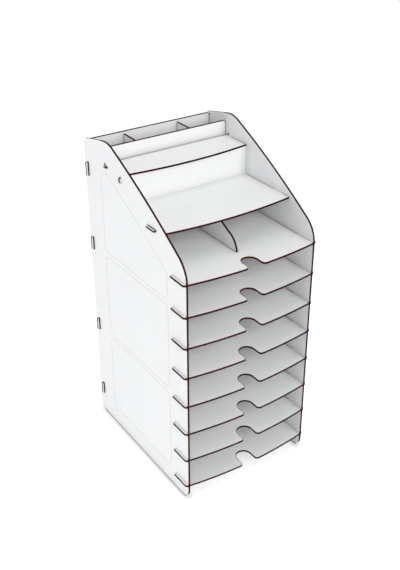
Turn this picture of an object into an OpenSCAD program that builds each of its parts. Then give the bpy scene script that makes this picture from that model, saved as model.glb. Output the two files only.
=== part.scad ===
// Document tower rack, slotted together from white-faced board.
// X runs across the rack, Y from front to back, Z up from the floor.
// Origin on the floor, at the middle of the rack's overall length and width.

/* [Board] */
// Thickness of the board that every piece is cut from
sheet = 3; // [2.5:0.1:4]
// Gap round a pull-out shelf in the slots that it runs in
shelf_play = 0.3; // [0.2:0.05:0.5]
// Gap round a fixed tab in its slot
tab_fit = 0.1; // [0.05:0.05:0.3]
// Extra room in front of the back's tabs, which lets them be tipped into the sides
slot_slack = 1.3; // [0.5:0.1:3]
// Depth of the scored lines on the sides
score_deep = 0.4; // [0.2:0.1:0.8]
// Width of the scored lines on the sides
score_wide = 0.8; // [0.4:0.1:1.5]

/* [Sides] */
// Width across the outer faces of the two sides
case_w = 250; // [220:1:320]
// Depth of the sides, front edge to rear edge
case_d = 315; // [300:1:360]
// Height of the sloping edge above the top slotted shelf, where it would meet the front edge
brow_rise = 24.8; // [18:0.2:40]
// Slope of the long edge at its foot, in degrees
brow_tilt = 34.8; // [30:0.1:38]
// Radius of the long, barely curved sloping edge
brow_r = 1400; // [1200:10:3000]
// Height of the top edge above the pen ledge, at the rear
rear_rise = 26.5; // [20:0.5:40]
// Fall of the top edge towards the rear, in degrees
top_fall = 12.4; // [6:0.1:16]
// Radius where the front edge turns into the slope
front_round = 48; // [20:1:70]
// Radius at the peak
crown_round = 52; // [20:1:70]
// Radius of the rear top corner
rear_round = 12; // [4:1:30]
// Radius of the two bottom corners
foot_round = 20; // [6:1:24]
// Inset of the scored frames from the edges
frame_inset = 55; // [45:0.5:70]
// Distance between two scored frames
frame_gap = 8.5; // [4:0.5:12]
// Corner radius of the scored frames
frame_round = 13; // [6:0.5:20]

/* [Shelves] */
// Height of the lowest shelf's middle plane
first_level = 30; // [26:0.5:45]
// Height from one shelf to the next
pitch = 57.2; // [50:0.1:66]
// How far the front edge of a shelf swells forward at its middle
bow = 9.3; // [4:0.1:16]
// Length of the ears that run in the front slots
ear_len = 39; // [24:1:50]
// How far an ear's straight front runs in before the bow starts
ear_lap = 2; // [1:0.5:6]
// How far an ear stands out from the side
ear_out = 4.7; // [3:0.1:8]
// Corner radius of an ear
ear_round = 6; // [2:0.5:7]
// Width of the finger notch
notch_w = 28; // [20:1:50]
// Depth of the finger notch from the shelf's foremost line
notch_deep = 33; // [26:1:50]
// Radius where the notch meets the front edge
notch_round = 6; // [2:0.5:10]
// Width of the tabs along the rear edges
rear_tab_w = 30; // [16:1:40]
// Distance of those tabs from the middle
rear_tab_x = 72; // [60:1:80]
// How far those tabs stand out behind the back
rear_out = 4.5; // [2:0.1:6]

/* [Top] */
// Setback of the upper tray's front edge at the sides
tray_front = 67; // [40:1:75]
// Middle of the upper tray's side tabs, from the front edge of the sides
tray_tab_y = 96.5; // [90:0.5:120]
// Length of the upper tray's side tabs
tray_tab_w = 25; // [12:1:30]
// Height from the upper tray to the pen ledge
ledge_rise = 53.7; // [46:0.1:66]
// Setback of the riser and of the pen ledge's front edge at the sides
riser_y = 188.8; // [160:0.1:195]
// Height of the riser's side tabs
riser_tab_h = 9.5; // [6:0.5:16]
// Distance of those tabs from the underside of the pen ledge
riser_tab_drop = 0.5; // [0.5:0.1:6]
// Setback of the pen box's front
box_y = 250.5; // [236:0.5:256]
// Height of the pen box's front above the pen ledge
box_rise = 27.3; // [16:0.1:34]
// Corner radius of the pen box's front and of the back
box_round = 6; // [2:0.5:12]
// Gap between the pen ledge's rear edge and the pen box's front
ledge_gap = 3.5; // [1:0.1:5]
// Length of the pen ledge's side tabs
ledge_tab_w = 9; // [6:0.5:14]
// Distance of those tabs from the pen box's front
ledge_tab_gap = 8; // [4:0.5:12]
// Length of the notch over the rear end of those tabs, which lets them be tipped in
tip_notch_w = 3.5; // [2:0.5:5]
// Height of that notch above the pen ledge
tip_notch_h = 3.8; // [2:0.1:6]
// How far the riser's and the pen ledge's tabs stand out from the sides
short_tab_out = 3.5; // [3:0.1:6]
// Distance of the pen box's partitions from the middle
split_x = 54; // [30:1:80]
// How far the partitions stay below the pen box's front
split_drop = 5; // [1:0.5:15]
// Setback of the bay divider's foot
divider_y = 43; // [36:1:60]
// Setback at which its front edge meets the upper tray
divider_top_y = 123; // [100:1:150]
// Slope of that edge, in degrees
divider_tilt = 25; // [20:1:35]
// Radius where that edge turns down to the foot
divider_round = 35; // [10:1:45]

/* [Back] */
// Distance of the back from the rear edge of the sides
back_inset = 9.5; // [6:0.5:20]
// Height of the back's lower edge
back_foot = 12; // [4:1:20]
// Height of the back's upper edge above the pen ledge
back_rise = 27; // [16:0.5:34]
// Height of the back's side tabs
back_tab_h = 25; // [14:1:30]
// How far the back's and the upper tray's tabs stand out from the sides
tab_out = 4.7; // [3:0.1:8]
// Corner radius of the tabs
tab_round = 2; // [0.5:0.25:2.5]
// Width of the hidden tabs that lock the inner walls
lock_tab_w = 22; // [12:1:26]

/* [Hidden] */
$fn = 96;
long_arc_fn = 720;
board = [0.95, 0.95, 0.96];
past = 1;
// Rounded corners cut the edges that they ease by this much, so that the two meet in one point.
bite = 0.002;

// The ten levels: eight slotted shelves, the upper tray and the pen ledge.
shelves = 8;
top_shelf = shelves - 1;
tray = shelves;
ledge = shelves + 1;
function shelf_level(step) = first_level + pitch * step;
function level(step) = shelf_level(min(step, tray)) + ledge_rise * max(step - tray, 0);
function top_of(step) = level(step) + sheet / 2;
function under(step) = level(step) - sheet / 2;
// Steps at which the back's side tabs stand.
back_tab_steps = [0.42, 3.03, 6.01, 8.52];
// Steps between which the scored frames lie, from the lowest up.
frame_steps = [0, 3, 6];

out_x = case_w / 2;
in_x = out_x - sheet;
shelf_x = in_x - shelf_play;
fixed_x = in_x - tab_fit;
back_y = case_d - back_inset - sheet;
shelf_end = back_y - shelf_play;
fixed_end = back_y - tab_fit;
brow_h = level(top_shelf) + brow_rise;
rear_h = level(ledge) + rear_rise;
box_top = level(ledge) + box_rise;
back_top = level(ledge) + back_rise;
split_top = box_top - split_drop;
ledge_end = box_y - ledge_gap;
ledge_tab_y = box_y - ledge_tab_gap - ledge_tab_w / 2;
riser_tab_z = under(ledge) - riser_tab_drop - riser_tab_h / 2;
long_tab = sheet + tab_fit + tab_out;
short_tab = sheet + tab_fit + short_tab_out;
lock_tab = sheet;
// Hidden walls are locked at the middles of these stretches.
hollow_mid = (riser_y + sheet + box_y) / 2;
lock_z = (top_of(tray) + under(ledge)) / 2;
bay_mid = (top_of(top_shelf) + under(tray)) / 2;
divider_lock_y = (divider_y + riser_y) / 2;

// Bowed fronts are arcs through the foremost point and a point near each side.
function bow_radius(half) = (pow(half - ear_lap, 2) + bow * bow) / (2 * bow);
shelf_bow_r = bow_radius(shelf_x);
// The notch's rounded mouth touches the bow and the notch's side.
mouth_x = notch_w / 2 + notch_round;
mouth_a = asin(mouth_x / (shelf_bow_r - notch_round));
mouth_y = shelf_bow_r - bow - (shelf_bow_r - notch_round) * cos(mouth_a);
notch_end = notch_deep - bow;
// Foremost point of a shelf, and the shift that centres the rack on the origin.
nose = shelf_bow_r * cos(mouth_a) - shelf_bow_r + bow;
front_y = -(case_d - nose) / 2;

// Centre of the sloping edge, and of the curves that touch it.
brow_c = [brow_r * sin(brow_tilt), brow_h - brow_r * cos(brow_tilt)];
function brow_touch(y, r) = [y, brow_c.y + sqrt(pow(r, 2) - pow(y - brow_c.x, 2))];
function brow_angle(c) = atan2(c.y - brow_c.y, c.x - brow_c.x);
front_c = brow_touch(front_round, brow_r - front_round);
fall = tan(top_fall);
// Height of the line that lies a distance d within the top edge.
function top_line(y, d) = rear_h + (case_d - y) * fall - d / cos(top_fall);
// Point at a distance d within both the sloping edge and the top edge.
function crown_at(d) =
    let (z = top_line(0, d) - brow_c.y,
         b = brow_c.x + fall * z,
         q = pow(brow_c.x, 2) + pow(z, 2) - pow(brow_r - d, 2),
         y = (b - sqrt(pow(b, 2) - (1 + fall * fall) * q)) / (1 + fall * fall))
    [y, top_line(y, d)];
// Point at a distance d within both the top edge and the rear edge.
function rear_at(d) = [case_d - d, top_line(case_d - d, d)];
crown_c = crown_at(crown_round);
rear_c = rear_at(rear_round);
top_a = 90 - top_fall;

function dir(a) = [cos(a), sin(a)];

// What a rounded corner takes off, between the edges whose outward normals are at a1 and a2.
module corner_waste(c, r, a1, a2) {
    reach = 2.5 * r;
    translate(c) difference() {
        polygon([[0, 0], reach * dir(a1), reach * (dir(a1) + dir(a2)), reach * dir(a2)]);
        circle(r + bite);
    }
}

// A tab that starts at the origin and runs along +X, with rounded outer corners.
module tab(length, width) {
    difference() {
        translate([-past, -width / 2]) square([length + past, width]);
        for (s = [-1, 1]) {
            c = [length - tab_round, s * (width / 2 - tab_round)];
            corner_waste(c, tab_round, 0, 90 * s);
        }
    }
}

// A slot between two corners.
module slot(low, high) {
    translate(low) square(high - low);
}

// Stands a drawing upright: in a plane across the rack, or in a plane along its depth.
module facing_front(y) {
    translate([0, y + sheet, 0]) rotate([90, 0, 0]) linear_extrude(sheet) children();
}
module facing_side(x) {
    translate([x, 0, 0]) rotate([90, 0, 90]) linear_extrude(sheet) children();
}
module lying(step) {
    translate([0, 0, under(step)]) linear_extrude(sheet) children();
}
module in_place() {
    color(board) translate([0, front_y, 0]) children();
}

// Sides

module side_outline() {
    difference() {
        intersection() {
            polygon([[0, 0], [case_d, 0], [case_d, top_line(case_d, 0)], [0, top_line(0, 0)]]);
            translate(brow_c) circle(brow_r, $fn = long_arc_fn);
        }
        corner_waste([foot_round, foot_round], foot_round, 180, 270);
        corner_waste([case_d - foot_round, foot_round], foot_round, 270, 360);
        corner_waste(front_c, front_round, brow_angle(front_c), 180);
        corner_waste(crown_c, crown_round, top_a, brow_angle(crown_c));
        corner_waste(rear_c, rear_round, 0, top_a);
    }
}

module side_slots() {
    gap = tab_fit;
    for (k = [0 : top_shelf]) {
        slot([-past, under(k) - shelf_play], [ear_len + shelf_play, top_of(k) + shelf_play]);
    }
    for (s = back_tab_steps) {
        half = back_tab_h / 2 + gap;
        slot([back_y - slot_slack, level(s) - half], [back_y + sheet + gap, level(s) + half]);
    }
    tray_half = tray_tab_w / 2 + gap;
    slot([tray_tab_y - tray_half, under(tray) - gap], [tray_tab_y + tray_half, top_of(tray) + gap]);
    ledge_half = ledge_tab_w / 2 + gap;
    slot([ledge_tab_y - ledge_half, under(ledge) - gap], [ledge_tab_y + ledge_half, top_of(ledge) + gap]);
    tip_y = ledge_tab_y + (ledge_tab_w - tip_notch_w) / 2;
    slot([tip_y, level(ledge)], [tip_y + tip_notch_w, top_of(ledge) + tip_notch_h]);
    riser_half = riser_tab_h / 2 + gap;
    slot([riser_y - gap, riser_tab_z - riser_half], [riser_y + sheet + gap, riser_tab_z + riser_half]);
}

// One scored frame's outline, drawn in by an amount that leaves its corner centres where they are.
module low_frame(z0, z1, drawn_in) {
    r = frame_round - drawn_in;
    y = [frame_inset + drawn_in, case_d - frame_inset - drawn_in];
    z = [z0 + drawn_in, z1 - drawn_in];
    difference() {
        translate([y[0], z[0]]) square([y[1] - y[0], z[1] - z[0]]);
        corner_waste([y[0] + r, z[0] + r], r, 180, 270);
        corner_waste([y[1] - r, z[0] + r], r, 270, 360);
        corner_waste([y[1] - r, z[1] - r], r, 0, 90);
        corner_waste([y[0] + r, z[1] - r], r, 90, 180);
    }
}

// The top frame follows the slope and, where there is room for it, the top edge.
module top_frame(z0, drawn_in) {
    r = frame_round - drawn_in;
    inset = frame_inset + drawn_in;
    y = [inset, case_d - inset];
    z = z0 + drawn_in;
    arc = brow_r - inset;
    front = brow_touch(y[0] + r, arc - r);
    crown = crown_at(inset + r);
    rear = rear_at(inset + r);
    peak = brow_touch(y[1] - r, arc - r);
    difference() {
        intersection() {
            polygon([[y[0], z], [y[1], z], [y[1], top_line(y[1], inset)], [y[0], top_line(y[0], inset)]]);
            translate(brow_c) circle(arc, $fn = long_arc_fn);
        }
        corner_waste([y[0] + r, z + r], r, 180, 270);
        corner_waste([y[1] - r, z + r], r, 270, 360);
        corner_waste(front, r, brow_angle(front), 180);
        if (crown.x < rear.x) {
            corner_waste(crown, r, top_a, brow_angle(crown));
            corner_waste(rear, r, 0, top_a);
        } else {
            corner_waste(peak, r, 0, brow_angle(peak));
        }
    }
}

module scored_lines() {
    half = frame_gap / 2;
    last = len(frame_steps) - 1;
    for (i = [0 : last - 1]) {
        z0 = level(frame_steps[i]) + half;
        z1 = level(frame_steps[i + 1]) - half;
        difference() {
            low_frame(z0, z1, 0);
            low_frame(z0, z1, score_wide);
        }
    }
    difference() {
        top_frame(level(frame_steps[last]) + half, 0);
        top_frame(level(frame_steps[last]) + half, score_wide);
    }
}

// Side that stands at x, scored on the face that lies at score_x.
module side(x, score_x) {
    difference() {
        facing_side(x) difference() {
            side_outline();
            side_slots();
        }
        translate([score_x, 0, 0]) rotate([90, 0, 90]) linear_extrude(score_deep + past) scored_lines();
    }
}
module left_side() {
    in_place() side(-out_x, -out_x - past);
}
module right_side() {
    in_place() side(in_x, out_x - score_deep);
}

// Back

module rear_slots(step, play) {
    half = rear_tab_w / 2 + play;
    for (s = [-1, 1]) {
        slot([s * rear_tab_x - half, under(step) - play], [s * rear_tab_x + half, top_of(step) + play]);
    }
}

module back_panel() {
    wall_gap = sheet / 2 + tab_fit;
    lock = lock_tab_w / 2 + tab_fit;
    in_place() facing_front(back_y) difference() {
        union() {
            difference() {
                translate([-fixed_x, back_foot]) square([2 * fixed_x, back_top - back_foot]);
                for (s = [-1, 1]) {
                    c = [s * (fixed_x - box_round), back_top - box_round];
                    corner_waste(c, box_round, 90 - 90 * s, 90);
                }
            }
            for (t = back_tab_steps) {
                translate([fixed_x, level(t)]) tab(long_tab, back_tab_h);
                translate([-fixed_x, level(t)]) mirror([1, 0]) tab(long_tab, back_tab_h);
            }
        }
        for (k = [0 : top_shelf - 1]) {
            rear_slots(k, shelf_play);
        }
        rear_slots(top_shelf, tab_fit);
        rear_slots(tray, tab_fit);
        slot([-wall_gap, bay_mid - lock], [wall_gap, bay_mid + lock]);
        for (s = [-1, 1]) {
            slot([s * split_x - wall_gap, lock_z - lock], [s * split_x + wall_gap, lock_z + lock]);
        }
    }
}

// Shelves

// A board between the sides, with a bowed front edge that starts at the given setback.
module bowed_board(half, front, end) {
    r = bow_radius(half);
    intersection() {
        translate([-half, front - bow - past]) square([2 * half, end - front + bow + past]);
        translate([0, front - bow + r]) circle(r, $fn = long_arc_fn);
    }
}

module rear_tabs(end) {
    for (s = [-1, 1]) {
        translate([s * rear_tab_x, end]) rotate(90) tab(back_y + sheet + rear_out - end, rear_tab_w);
    }
}

module ears(half) {
    reach = out_x + ear_out;
    for (s = [-1, 1]) {
        mirror([s < 0 ? 1 : 0, 0]) difference() {
            translate([half - 2 * ear_lap, 0]) square([reach - half + 2 * ear_lap, ear_len]);
            corner_waste([reach - ear_round, ear_round], ear_round, -90, 0);
        }
    }
}

// Finger notch: a round-ended cut with eased corners at the front edge.
module finger_notch() {
    r = notch_w / 2;
    translate([0, notch_end - r]) circle(r);
    translate([-r, -bow - past]) square([notch_w, notch_end - r + bow + past]);
    for (s = [-1, 1]) {
        corner_waste([s * mouth_x, mouth_y], notch_round, 270 + s * mouth_a, 270 - 90 * s);
    }
}

module slotted_shelf(step) {
    in_place() lying(step) difference() {
        union() {
            bowed_board(shelf_x, 0, shelf_end);
            ears(shelf_x);
            rear_tabs(shelf_end);
        }
        finger_notch();
        children();
    }
}

// Where the bay divider's foot tabs drop into the top slotted shelf.
module divider_foot_slots() {
    half = sheet / 2 + tab_fit;
    lock = lock_tab_w / 2 + tab_fit;
    for (y = [divider_lock_y, hollow_mid]) {
        slot([-half, y - lock], [half, y + lock]);
    }
}

module shelf_1() { slotted_shelf(0); }
module shelf_2() { slotted_shelf(1); }
module shelf_3() { slotted_shelf(2); }
module shelf_4() { slotted_shelf(3); }
module shelf_5() { slotted_shelf(4); }
module shelf_6() { slotted_shelf(5); }
module shelf_7() { slotted_shelf(6); }
module shelf_8() { slotted_shelf(top_shelf) divider_foot_slots(); }

// Top

module side_tabs(y, length, width) {
    for (s = [-1, 1]) {
        mirror([s < 0 ? 1 : 0, 0]) translate([fixed_x, y]) tab(length, width);
    }
}

// Pairs of tabs that lock an inner wall, and the slots that take them.
module lock_slots(y) {
    half = lock_tab_w / 2 + tab_fit;
    for (s = [-1, 1]) {
        slot([s * rear_tab_x - half, y - tab_fit], [s * rear_tab_x + half, y + sheet + tab_fit]);
    }
}
module lock_tabs(z) {
    for (s = [-1, 1]) {
        translate([s * rear_tab_x, z]) rotate(-90) tab(lock_tab, lock_tab_w);
    }
}

module upper_tray() {
    half = sheet / 2 + tab_fit;
    lock = lock_tab_w / 2 + tab_fit;
    in_place() lying(tray) difference() {
        union() {
            bowed_board(fixed_x, tray_front, fixed_end);
            side_tabs(tray_tab_y, long_tab, tray_tab_w);
            rear_tabs(fixed_end);
        }
        lock_slots(riser_y);
        lock_slots(box_y);
        slot([-half, hollow_mid - lock], [half, hollow_mid + lock]);
    }
}

module pen_ledge() {
    in_place() lying(ledge) union() {
        bowed_board(fixed_x, riser_y, ledge_end);
        side_tabs(ledge_tab_y, short_tab, ledge_tab_w);
    }
}

module tray_riser() {
    low = top_of(tray) + tab_fit;
    high = under(ledge) - tab_fit;
    in_place() facing_front(riser_y) union() {
        translate([-fixed_x, low]) square([2 * fixed_x, high - low]);
        side_tabs(riser_tab_z, short_tab, riser_tab_h);
        lock_tabs(low);
    }
}

module pen_box_front() {
    low = top_of(tray) + tab_fit;
    lock = lock_tab_w / 2 + tab_fit;
    half = sheet / 2 + tab_fit;
    in_place() facing_front(box_y) difference() {
        union() {
            translate([-fixed_x, low]) square([2 * fixed_x, box_top - low]);
            lock_tabs(low);
        }
        for (s = [-1, 1]) {
            corner_waste([s * (fixed_x - box_round), box_top - box_round], box_round, 90 - 90 * s, 90);
            slot([s * split_x - half, lock_z - lock], [s * split_x + half, lock_z + lock]);
        }
    }
}

// Partition of the pen box, keyed into its front and into the back.
module pen_split(x) {
    low = top_of(tray) + tab_fit;
    y0 = box_y + sheet + tab_fit;
    in_place() facing_side(x - sheet / 2) union() {
        translate([y0, low]) square([fixed_end - y0, split_top - low]);
        translate([fixed_end, lock_z]) tab(lock_tab, lock_tab_w);
        translate([y0, lock_z]) mirror([1, 0]) tab(lock_tab, lock_tab_w);
    }
}
module pen_split_left() { pen_split(-split_x); }
module pen_split_right() { pen_split(split_x); }

// Upright wall that halves the top bay, its front edge sloped like the sides.
module bay_divider() {
    low = top_of(top_shelf) + tab_fit;
    high = under(tray) - tab_fit;
    normal = 90 + divider_tilt;
    c_y = divider_y + divider_round;
    c = [c_y, high + (c_y - divider_top_y) * tan(divider_tilt) - divider_round / cos(divider_tilt)];
    in_place() facing_side(-sheet / 2) union() {
        difference() {
            translate([divider_y, low]) square([fixed_end - divider_y, high - low]);
            corner_waste(c, divider_round, normal, 180);
            translate(c + divider_round * dir(normal)) rotate(divider_tilt)
                translate([-past, 0]) square([case_d, pitch]);
        }
        translate([fixed_end, bay_mid]) tab(lock_tab, lock_tab_w);
        for (y = [divider_lock_y, hollow_mid]) {
            translate([y, low]) rotate(-90) tab(lock_tab, lock_tab_w);
        }
        translate([hollow_mid, high]) rotate(90) tab(lock_tab, lock_tab_w);
    }
}

left_side();
right_side();
back_panel();
shelf_1();
shelf_2();
shelf_3();
shelf_4();
shelf_5();
shelf_6();
shelf_7();
shelf_8();
upper_tray();
pen_ledge();
tray_riser();
pen_box_front();
pen_split_left();
pen_split_right();
bay_divider();
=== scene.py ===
"""Finishes and studio for a document tower rack cut from white-faced board."""
import math

import bpy
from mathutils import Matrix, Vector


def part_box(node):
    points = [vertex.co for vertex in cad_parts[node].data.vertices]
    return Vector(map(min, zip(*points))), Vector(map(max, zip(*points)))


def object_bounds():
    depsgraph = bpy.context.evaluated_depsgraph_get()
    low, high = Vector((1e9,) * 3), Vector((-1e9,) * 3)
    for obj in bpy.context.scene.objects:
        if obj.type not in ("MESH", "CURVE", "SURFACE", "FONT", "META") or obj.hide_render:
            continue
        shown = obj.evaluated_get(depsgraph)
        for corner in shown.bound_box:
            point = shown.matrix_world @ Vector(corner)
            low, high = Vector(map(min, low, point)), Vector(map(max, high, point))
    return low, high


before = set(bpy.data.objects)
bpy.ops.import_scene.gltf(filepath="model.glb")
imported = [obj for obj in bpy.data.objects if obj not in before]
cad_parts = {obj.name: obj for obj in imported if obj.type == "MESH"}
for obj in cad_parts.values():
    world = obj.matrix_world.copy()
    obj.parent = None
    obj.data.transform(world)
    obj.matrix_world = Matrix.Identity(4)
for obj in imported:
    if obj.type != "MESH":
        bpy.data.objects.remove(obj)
cad_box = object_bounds()

# Boards by the axis that their thickness runs along.
SIDES = ["left_side", "right_side"]
UPRIGHTS = ["pen_split_left", "pen_split_right", "bay_divider"]
FRONTS = ["back_panel", "tray_riser", "pen_box_front"]
SHELVES = [f"shelf_{number}" for number in range(1, 9)]
FLATS = SHELVES + ["upper_tray", "pen_ledge"]
THICKNESS_AXIS = {"x": SIDES + UPRIGHTS, "y": FRONTS, "z": FLATS}
# Boards with painted shade on their tabs where they leave the sides, standing in for the shade in the
# slots' gaps, besides the upper tray.
SLOT_SHADED_BOARDS = ["back_panel", "pen_ledge"]
# Order of the finishes in a board's material slots.
FACE, CUT, SCORE = range(3)

# Places on the boards, in metres, from the frame.
side_low, side_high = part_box("right_side")
# Painted shade, standing in for the shade in the slots' gaps, lies on the tabs round this distance
# from the middle plane, and fades out at its borders.
TAB_ROOT_AT = side_high[0] - 0.0005
SLOT_SHADE_HALF, SLOT_SHADE_END = 0.0022, 0.0028
# A side's front margin, ahead of its slots, and the line under its sloping edge, above its
# scored frames: the line's height at the middle of the rack's depth and its rise.
MARGIN_FRONT = side_low[1] + 0.003
MARGIN_HEIGHT, MARGIN_RISE = 0.526, 0.53
# The scorched rim of the upper tray lies ahead of this, clear of the slots under the riser.
TRAY_RIM_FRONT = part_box("tray_riser")[0][1] - 0.006
# Below this height, under the lowest shelf, the floor throws light back and the painted corner shade
# is left off, so corners stay white.
FOOT_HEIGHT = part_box("shelf_1")[0][2] - 0.0025

# Faces are told from cut edges by how squarely they face along the thickness.
FACE_SQUARENESS = 0.7
# A scored line lies between these depths under a side's outer face.
SCORE_START, SCORE_DEPTH = 0.0001, 0.001

# Laminate: patterns by features to the metre, and how far the painted corner shade and the scorching
# reach.
CLOUDS, SATIN, GRAIN = 14, 60, 1500
CLOUD_WHITES = [(0.3, (0.825, 0.832, 0.845)), (0.7, (0.845, 0.852, 0.862))]
# Painted shade in corners, standing in for the shade that falls there: its reach and its greys by how
# open the place lies.
CORNER_REACH = 0.018
PAINTED_CORNER_GREYS = [(0.45, (0.87, 0.873, 0.873)), (0.72, (0.94, 0.942, 0.942)), (0.98, (1, 1, 1))]
RIM_REACH = 0.0018
RIM_BROWNS = [(0.67, (0.055, 0.014, 0.009)), (0.86, (0.90, 0.75, 0.68)), (0.98, (1, 1, 1))]
WHITE = (1, 1, 1, 1)
# Black of the painted shade on the tabs at the slots.
SLOT_SHADE_BLACK = (0.02, 0.013, 0.011, 1)
DULL = (0.85, 0.85, 0.85, 1)
LAMINATE_SHEEN = 0.5

# Burnt edge: streaks are drawn out along the thickness, where the pattern is squeezed.
STREAKS, PATCHES = 1800, 90
STREAK_SQUEEZE = 0.02
CHAR_BROWNS = [(0.3, (0.020, 0.0040, 0.0026)), (0.5, (0.037, 0.0080, 0.0048)),
               (0.7, (0.060, 0.0155, 0.0092))]
PATCH_SHADES = [(0.35, (0.75, 0.74, 0.75)), (0.7, (1, 1, 1))]
CHAR_SHEEN = 0.03

# Scored line.
FIBRES = 900
FIBRE_GREYS = [(0.3, (0.63, 0.63, 0.635)), (0.7, (0.73, 0.73, 0.735))]
FIBRE_ROUGHNESS = 0.6

# Camera, in the frame of a 400 by 570 picture whose long side is the sensor's width.
CAMERA_PLACE = (-0.71709, -1.07755, 1.07147)
CAMERA_TURN = -33.693
CAMERA_DOWN = 30.181
CAMERA_ROLL = -0.147
CAMERA_LENS = 53.78

# Floor: a painted contact shadow, its greys by how open it lies, darkest where the rack stands on it.
FLOOR_SIZE = 40
CONTACT_REACH = 0.012
PAINTED_CONTACT_SHADOW = {0.5: 0.05, 0.57: 0.44, 0.66: 0.62, 0.8: 0.69, 0.96: 0.76, 1.0: 0.86}
FLOOR_LIFT = 0.44
FLOOR_ROUGHNESS = 0.9

# Light: the surround, and softboxes by place, width in metres, power in watts and tint.
SURROUND, SURROUND_STRENGTH = (0.985, 0.99, 1, 1), 0.69
NEUTRAL, WARM = (1, 1, 1), (1, 1, 0.945)
SOFTBOXES = {
    "key_light": ((0.0, -2.7, 1.8), 1.6, 42, WARM),
    "side_light": ((-3.0, 0.0, 0.35), 0.7, 21, NEUTRAL),
    "top_light": ((0.0, 0.0, 3.2), 2.0, 9, WARM),
}


def new_material(name):
    """A material with its node tree and its main shader."""
    material = bpy.data.materials.new(name)
    material.use_nodes = True
    tree = material.node_tree
    return material, tree, tree.nodes["Principled BSDF"]


def add_node(tree, kind, **values):
    """A node with values set: names with a capital are inputs, the rest are settings."""
    node = tree.nodes.new(kind)
    for key, value in values.items():
        if key[0].isupper():
            node.inputs[key.replace("_", " ")].default_value = value
        else:
            setattr(node, key, value)
    return node


def feed(tree, socket, given):
    """Links a node's result to a socket, or sets a number or colour on it."""
    if hasattr(given, "is_output"):
        tree.links.new(given, socket)
    else:
        socket.default_value = given


def board_coordinates(tree, stretch=(1, 1, 1)):
    """The board's own coordinates in metres, stretched along its axes."""
    place = add_node(tree, "ShaderNodeTexCoord")
    mapping = add_node(tree, "ShaderNodeMapping", Scale=stretch)
    feed(tree, mapping.inputs["Vector"], place.outputs["Object"])
    return mapping.outputs["Vector"]


def along(tree, place, axis):
    """How far a place lies along one axis."""
    node = add_node(tree, "ShaderNodeSeparateXYZ")
    feed(tree, node.inputs["Vector"], place)
    return node.outputs[axis]


def noise(tree, place, scale, detail, roughness=0.5):
    """Noise of so many features to the metre."""
    node = add_node(tree, "ShaderNodeTexNoise", Scale=scale, Detail=detail, Roughness=roughness)
    feed(tree, node.inputs["Vector"], place)
    return node.outputs["Fac"]


def ramp(tree, value, stops):
    """Colours at places from 0 to 1 along a value."""
    node = add_node(tree, "ShaderNodeValToRGB")
    points = node.color_ramp.elements
    while len(points) < len(stops):
        points.new(0.5)
    for point, (position, colour) in zip(points, stops):
        point.position = position
        point.color = (*colour, 1)
    feed(tree, node.inputs["Fac"], value)
    return node.outputs["Color"]


def spread(tree, value, start, end, low, high):
    """Maps the numbers from start to end onto those from low to high."""
    node = add_node(tree, "ShaderNodeMapRange", From_Min=start, From_Max=end, To_Min=low, To_Max=high)
    feed(tree, node.inputs["Value"], value)
    return node.outputs["Result"]


def spread_noise(tree, value, low, high):
    """Maps the middle of a noise onto a range of numbers."""
    return spread(tree, value, 0.3, 0.7, low, high)


def blend(tree, amount, first, second):
    """Goes from the first colour to the second by an amount."""
    return mix(tree, "MIX", amount, first, second)


def multiply(tree, first, second):
    """One colour darkened by another."""
    return mix(tree, "MULTIPLY", 1.0, first, second)


def mix(tree, way, amount, first, second):
    """Two colours brought together; the colour mix has its sockets at these places on the node."""
    node = add_node(tree, "ShaderNodeMix", data_type="RGBA", blend_type=way)
    for place, given in ((0, amount), (6, first), (7, second)):
        feed(tree, node.inputs[place], given)
    return node.outputs[2]


def bump(tree, shader, height, strength, distance):
    """Raises the surface by a height, at most so many metres."""
    node = add_node(tree, "ShaderNodeBump", Strength=strength, Distance=distance)
    feed(tree, node.inputs["Height"], height)
    feed(tree, shader.inputs["Normal"], node.outputs["Normal"])


def work_out(tree, operation, *values):
    """The result of a sum on numbers or other nodes' results."""
    node = add_node(tree, "ShaderNodeMath", operation=operation)
    for socket, given in zip(node.inputs, values):
        feed(tree, socket, given)
    return node.outputs["Value"]


def off_middle(tree, place):
    """Distance from the plane that halves the rack."""
    return work_out(tree, "ABSOLUTE", along(tree, place, "X"))


def tab_roots(tree, place):
    """1 where a tab passes through a side, 0 elsewhere."""
    off = work_out(tree, "ABSOLUTE", work_out(tree, "SUBTRACT", off_middle(tree, place), TAB_ROOT_AT))
    return spread(tree, off, SLOT_SHADE_HALF, SLOT_SHADE_END, 1, 0)


def between_sides(tree, place):
    """1 between the two sides, 0 on the tabs that stand out of them."""
    return work_out(tree, "LESS_THAN", off_middle(tree, place), TAB_ROOT_AT)


def beyond_sides(tree, place):
    """1 on the tabs that stand out of the sides, 0 between them."""
    return work_out(tree, "SUBTRACT", 1.0, between_sides(tree, place))


def tray_front(tree, place):
    """1 between the sides ahead of the slots in the tray, 0 elsewhere."""
    ahead = work_out(tree, "LESS_THAN", along(tree, place, "Y"), TRAY_RIM_FRONT)
    return work_out(tree, "MULTIPLY", between_sides(tree, place), ahead)


def side_margins(tree, place):
    """1 along the front and sloping edges of a side, 0 at its scored frames and slots."""
    depth = along(tree, place, "Y")
    in_front = work_out(tree, "LESS_THAN", depth, MARGIN_FRONT)
    start = work_out(tree, "MULTIPLY_ADD", depth, MARGIN_RISE, MARGIN_HEIGHT)
    above = work_out(tree, "GREATER_THAN", along(tree, place, "Z"), start)
    return work_out(tree, "MAXIMUM", in_front, above)


def painted_corner_shade(tree, place):
    """Painted shade: white in the open, darker in corners above the foot of the rack, where shade
    falls.
    """
    open_air = add_node(tree, "ShaderNodeAmbientOcclusion", samples=8, Distance=CORNER_REACH)
    shade = ramp(tree, open_air.outputs["AO"], PAINTED_CORNER_GREYS)
    at_foot = work_out(tree, "LESS_THAN", along(tree, place, "Z"), FOOT_HEIGHT)
    return blend(tree, at_foot, shade, WHITE)


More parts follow.
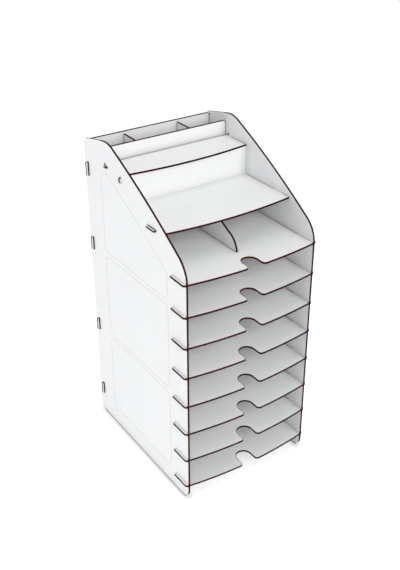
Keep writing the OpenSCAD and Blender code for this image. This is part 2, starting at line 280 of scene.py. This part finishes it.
def scorch_and_slot_shade(tree, place, rim_where, slot_shaded):
    """White on a clean face, brown scorch beside the cuts, and painted shade, black, at the roots of
    the tabs where the slots' gaps lie in shade.
    """
    board = add_node(tree, "ShaderNodeAmbientOcclusion", inside=True, only_local=True, samples=16,
                     Distance=RIM_REACH)
    burn_and_shade = ramp(tree, board.outputs["AO"], RIM_BROWNS)
    if rim_where:
        burn_and_shade = blend(tree, rim_where(tree, place), WHITE, burn_and_shade)
    if slot_shaded:
        # Painted shade: black on the tabs where they leave the sides, in place of the shade in the
        # slots' gaps.
        burn_and_shade = blend(tree, tab_roots(tree, place), burn_and_shade, SLOT_SHADE_BLACK)
    return burn_and_shade


def make_laminate(name, rim_where=None, slot_shaded=False):
    """White melamine face: faint clouds, fine grain, painted shade in the corners and scorching at
    the cuts, with painted shade at the tabs' roots on slot-shaded boards.
    """
    material, tree, shader = new_material(name)
    place = board_coordinates(tree)
    cloud = ramp(tree, noise(tree, place, CLOUDS, detail=3), CLOUD_WHITES)
    burn_and_shade = scorch_and_slot_shade(tree, place, rim_where, slot_shaded)
    # The colour is darkened by painted shade in the corners, by the scorch, and by the painted shade
    # at the tabs' roots.
    colour = multiply(tree, multiply(tree, cloud, painted_corner_shade(tree, place)), burn_and_shade)
    feed(tree, shader.inputs["Base Color"], colour)
    sheen = work_out(tree, "MULTIPLY", burn_and_shade, LAMINATE_SHEEN)
    feed(tree, shader.inputs["Specular IOR Level"], sheen)
    satin = spread_noise(tree, noise(tree, place, SATIN, detail=4), low=0.36, high=0.48)
    feed(tree, shader.inputs["Roughness"], blend(tree, burn_and_shade, DULL, satin))
    grain = noise(tree, place, GRAIN, detail=3, roughness=0.6)
    bump(tree, shader, grain, strength=0.08, distance=0.00005)
    return material


def make_burnt_edge(axis):
    """Cut edge charred by the beam: streaks run through the board, along its thickness."""
    material, tree, shader = new_material(f"burnt_edge_{axis}")
    stretch = tuple(STREAK_SQUEEZE if letter == axis else 1 for letter in "xyz")
    across = board_coordinates(tree, stretch)
    streaks = noise(tree, across, STREAKS, detail=2, roughness=0.6)
    patches = noise(tree, across, PATCHES, detail=3)
    char = ramp(tree, streaks, CHAR_BROWNS)
    feed(tree, shader.inputs["Base Color"], multiply(tree, char, ramp(tree, patches, PATCH_SHADES)))
    feed(tree, shader.inputs["Roughness"], spread_noise(tree, patches, low=0.62, high=0.85))
    shader.inputs["Specular IOR Level"].default_value = CHAR_SHEEN
    bump(tree, shader, streaks, strength=0.5, distance=0.0002)
    return material


def make_scored_line():
    """Floor and walls of a lightly scored line, a little greyer than the face."""
    material, tree, shader = new_material("scored_line")
    fibres = noise(tree, board_coordinates(tree), FIBRES, detail=3)
    feed(tree, shader.inputs["Base Color"], ramp(tree, fibres, FIBRE_GREYS))
    shader.inputs["Roughness"].default_value = FIBRE_ROUGHNESS
    bump(tree, shader, fibres, strength=0.3, distance=0.0001)
    return material


def dress(name, axis, finishes):
    """Gives a board its white faces, burnt edges and scored lines, face by face."""
    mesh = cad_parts[name].data
    mesh.materials.clear()
    for finish in finishes:
        mesh.materials.append(finish)
    k = "xyz".index(axis)
    outer = max(abs(corner[k]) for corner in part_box(name))
    for polygon in mesh.polygons:
        on_face = abs(polygon.normal[k]) > FACE_SQUARENESS
        depths = [outer - abs(mesh.vertices[v].co[k]) for v in polygon.vertices]
        shallow = name in SIDES and max(depths) < SCORE_DEPTH
        if shallow and (not on_face or min(depths) > SCORE_START):
            polygon.material_index = SCORE
        else:
            polygon.material_index = FACE if on_face else CUT


def dress_boards():
    """Makes the finishes and gives them to every board."""
    plain = make_laminate("white_laminate")
    laminates = dict.fromkeys(SIDES, make_laminate("white_laminate_scored", side_margins))
    slot_shaded = make_laminate("white_laminate_slot_shaded_tabs", between_sides, slot_shaded=True)
    laminates.update(dict.fromkeys(SLOT_SHADED_BOARDS, slot_shaded))
    laminates["upper_tray"] = make_laminate("white_laminate_tray", tray_front, slot_shaded=True)
    laminates["tray_riser"] = make_laminate("white_laminate_scorched_tabs", beyond_sides)
    scored_line = make_scored_line()
    for axis, names in THICKNESS_AXIS.items():
        burnt_edge = make_burnt_edge(axis)
        for name in names:
            dress(name, axis, [laminates.get(name, plain), burnt_edge, scored_line])


def seen_directly(tree):
    """1 where the camera, a mirror or glass looks straight at the surface."""
    path = add_node(tree, "ShaderNodeLightPath")
    camera, glossy, glass = (path.outputs[f"Is {kind} Ray"]
                             for kind in ("Camera", "Glossy", "Transmission"))
    return work_out(tree, "MAXIMUM", camera, work_out(tree, "MAXIMUM", glossy, glass))


def make_floor():
    """Pale floor that shows white in the picture and keeps the rack's shadow, with a painted contact
    shadow where the rack stands.
    """
    bpy.ops.object.select_all(action="DESELECT")
    bpy.ops.mesh.primitive_plane_add(size=FLOOR_SIZE, location=(0, 0, 0))
    floor = bpy.context.object
    floor.name = "floor"
    material, tree, shader = new_material("studio_floor")
    # Painted contact shadow: the floor's colour, and its lift to the camera, darken where the rack
    # hems it in.
    contact = add_node(tree, "ShaderNodeAmbientOcclusion", samples=16, Distance=CONTACT_REACH)
    greys = [(openness, (grey, grey, grey)) for openness, grey in PAINTED_CONTACT_SHADOW.items()]
    shade = ramp(tree, contact.outputs["AO"], greys)
    feed(tree, shader.inputs["Base Color"], shade)
    feed(tree, shader.inputs["Emission Color"], shade)
    shader.inputs["Roughness"].default_value = FLOOR_ROUGHNESS
    shader.inputs["Specular IOR Level"].default_value = 0.0
    lift = work_out(tree, "MULTIPLY", seen_directly(tree), FLOOR_LIFT)
    feed(tree, shader.inputs["Emission Strength"], lift)
    floor.data.materials.append(material)


def make_world():
    """Even soft light from all round, and a white background."""
    world = bpy.data.worlds.new("studio")
    bpy.context.scene.world = world
    world.use_nodes = True
    tree = world.node_tree
    light = tree.nodes["Background"]
    light.inputs["Color"].default_value = SURROUND
    light.inputs["Strength"].default_value = SURROUND_STRENGTH
    white = add_node(tree, "ShaderNodeBackground", Color=WHITE, Strength=1.0)
    choose = add_node(tree, "ShaderNodeMixShader")
    choices = (seen_directly(tree), light.outputs["Background"], white.outputs["Background"])
    for socket, given in zip(choose.inputs, choices):
        feed(tree, socket, given)
    feed(tree, tree.nodes["World Output"].inputs["Surface"], choose.outputs["Shader"])


def make_softbox(name, place, width, power, tint):
    """A square softbox that looks at the middle of the rack."""
    lamp = bpy.data.lights.new(name, "AREA")
    lamp.size = width
    lamp.energy = power
    lamp.color = tint
    softbox = bpy.data.objects.new(name, lamp)
    bpy.context.collection.objects.link(softbox)
    softbox.location = place
    low, high = cad_box
    away = softbox.location - (low + high) / 2
    softbox.rotation_euler = away.to_track_quat("Z", "Y").to_euler()


def make_camera():
    """Camera at the photograph's viewing angle."""
    data = bpy.data.cameras.new("camera")
    data.lens = CAMERA_LENS
    camera = bpy.data.objects.new("camera", data)
    bpy.context.collection.objects.link(camera)
    camera.location = CAMERA_PLACE
    camera.rotation_euler = (math.radians(90 - CAMERA_DOWN), 0, math.radians(CAMERA_TURN))
    camera.rotation_euler.rotate_axis("Z", math.radians(CAMERA_ROLL))
    bpy.context.scene.camera = camera


def make_studio():
    """Floor, light and camera."""
    make_floor()
    make_world()
    for name, (place, width, power, tint) in SOFTBOXES.items():
        make_softbox(name, place, width, power, tint)
    make_camera()


dress_boards()
make_studio()
bpy.context.scene.view_settings.view_transform = "Standard"
